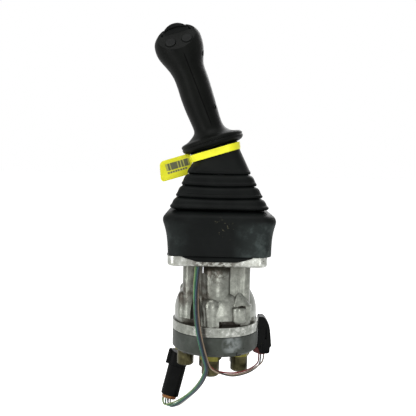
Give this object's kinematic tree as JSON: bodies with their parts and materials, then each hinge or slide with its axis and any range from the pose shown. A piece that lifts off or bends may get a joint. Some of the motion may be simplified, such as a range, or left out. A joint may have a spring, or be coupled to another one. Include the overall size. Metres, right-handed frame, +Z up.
{
  "type": "hydraulic pilot joystick valve",
  "caption": "Hand lever on a flanged pilot valve: leaning two-button grip with a thumb rocker, rubber boot, square flange, cast body, face-seal ports and a wired harness.",
  "frame": {"origin": "centre of the four mounting holes on the flange's underside", "axes": "+Z up the lever's pivot axis, +X to the operator's right, -Y towards the operator"},
  "size_m": [0.126, 0.1078, 0.3959],
  "materials": {
    "cast_aluminium": "rough cast",
    "grey_aluminium": "dull cast",
    "steel": "machined",
    "black_steel": "black oxide",
    "zinc_plate": "yellow zinc plated",
    "boot_rubber": "matte",
    "seal_rubber": "matte",
    "gasket": "matte",
    "grip_plastic": "fine grain",
    "button_plastic": "smooth",
    "plug_plastic": "smooth",
    "tag_yellow": "smooth",
    "tag_olive": "smooth",
    "seal_orange": "matte",
    "seal_red": "matte",
    "wire_jacket": "smooth"
  },
  "bodies": {
    "housing": {"upper_housing": "cast_aluminium", "boot_lips": "boot_rubber", "housing_gasket": "gasket", "lower_housing": "grey_aluminium", "housing_screws": "black_steel", "port_fittings": "zinc_plate", "face_seals": "seal_rubber", "rod_plugs": "steel", "rod_wipers": "seal_rubber", "plug_rings": "seal_rubber", "retainer_plate": "steel", "joint_base": "steel", "boot_base": "boot_rubber", "boot_bellows": "boot_rubber", "harness_grommet": "seal_rubber", "locating_pin": "steel", "harness_trunk": "wire_jacket", "harness_left": "wire_jacket", "harness_right": "wire_jacket", "left_connector": "plug_plastic", "left_latch": "plug_plastic", "left_seal": "seal_orange", "right_connector": "plug_plastic", "right_latch": "plug_plastic", "right_seal": "seal_red", "return_spring_right": "steel", "return_spring_left": "steel", "return_spring_rear": "steel", "return_spring_front": "steel"},
    "cross": {"joint_block": "steel", "joint_pin_x": "steel", "joint_pin_y": "steel"},
    "lever": {"joint_fork": "steel", "cam_disc": "steel", "lock_nut": "black_steel", "lever_rod": "steel", "boot_neck": "boot_rubber", "grip_left": "grip_plastic", "grip_right": "grip_plastic", "grip_bezel": "grip_plastic", "grip_base": "grip_plastic", "grip_screws": "steel", "button_switch_left": "button_plastic", "button_switch_right": "button_plastic", "rocker_cradle": "grip_plastic", "rocker_pin": "steel", "tag_band": "tag_yellow", "tag_flag": "tag_olive"},
    "rocker": {"thumb_rocker": "button_plastic"},
    "button_left": {"button_left": "button_plastic"},
    "button_right": {"button_right": "button_plastic"},
    "rod_right": {"push_rod_right": "steel", "spool_right": "steel"},
    "rod_left": {"push_rod_left": "steel", "spool_left": "steel"},
    "rod_rear": {"push_rod_rear": "steel", "spool_rear": "steel"},
    "rod_front": {"push_rod_front": "steel", "spool_front": "steel"}
  },
  "joints": [
    {"name": "tilt_x", "type": "hinge", "parent": "housing", "child": "cross", "pos_m": [0, 0, 0.0255], "axis": [1, 0, 0], "range_deg": [-19, 19], "stiffness_Nm_per_rad": 6, "deforming": ["boot_bellows"]},
    {"name": "tilt_y", "type": "hinge", "parent": "cross", "child": "lever", "pos_m": [0, 0, 0.0255], "axis": [0, 1, 0], "range_deg": [-19, 19], "stiffness_Nm_per_rad": 6, "deforming": ["boot_bellows"]},
    {"name": "rod_right_slide", "type": "slide", "parent": "housing", "child": "rod_right", "axis": [0, 0, 1], "range_m": [-0.00664, 0.00664], "deforming": ["return_spring_right"]},
    {"name": "rod_left_slide", "type": "slide", "parent": "housing", "child": "rod_left", "axis": [0, 0, 1], "range_m": [-0.00664, 0.00664], "deforming": ["return_spring_left"]},
    {"name": "rod_rear_slide", "type": "slide", "parent": "housing", "child": "rod_rear", "axis": [0, 0, 1], "range_m": [-0.00664, 0.00664], "deforming": ["return_spring_rear"]},
    {"name": "rod_front_slide", "type": "slide", "parent": "housing", "child": "rod_front", "axis": [0, 0, 1], "range_m": [-0.00664, 0.00664], "deforming": ["return_spring_front"]},
    {"name": "button_left_press", "type": "slide", "parent": "lever", "child": "button_left", "axis": [-0.1767, -0.809, 0.5606], "range_m": [-0.002, 0], "stiffness_N_per_m": 800, "springref_m": 0.002},
    {"name": "button_right_press", "type": "slide", "parent": "lever", "child": "button_right", "axis": [-0.1767, -0.809, 0.5606], "range_m": [-0.002, 0], "stiffness_N_per_m": 800, "springref_m": 0.002},
    {"name": "rocker_tilt", "type": "hinge", "parent": "lever", "child": "rocker", "pos_m": [-0.04362, 0, 0.21885], "axis": [0, 1, 0], "range_deg": [-12, 12], "stiffness_Nm_per_rad": 0.06}
  ],
  "couplings": [
    {"joint": "rod_right_slide", "follows": "tilt_y", "m_per_rad": -0.02},
    {"joint": "rod_left_slide", "follows": "tilt_y", "m_per_rad": 0.02},
    {"joint": "rod_rear_slide", "follows": "tilt_x", "m_per_rad": 0.02},
    {"joint": "rod_front_slide", "follows": "tilt_x", "m_per_rad": -0.02}
  ]
}
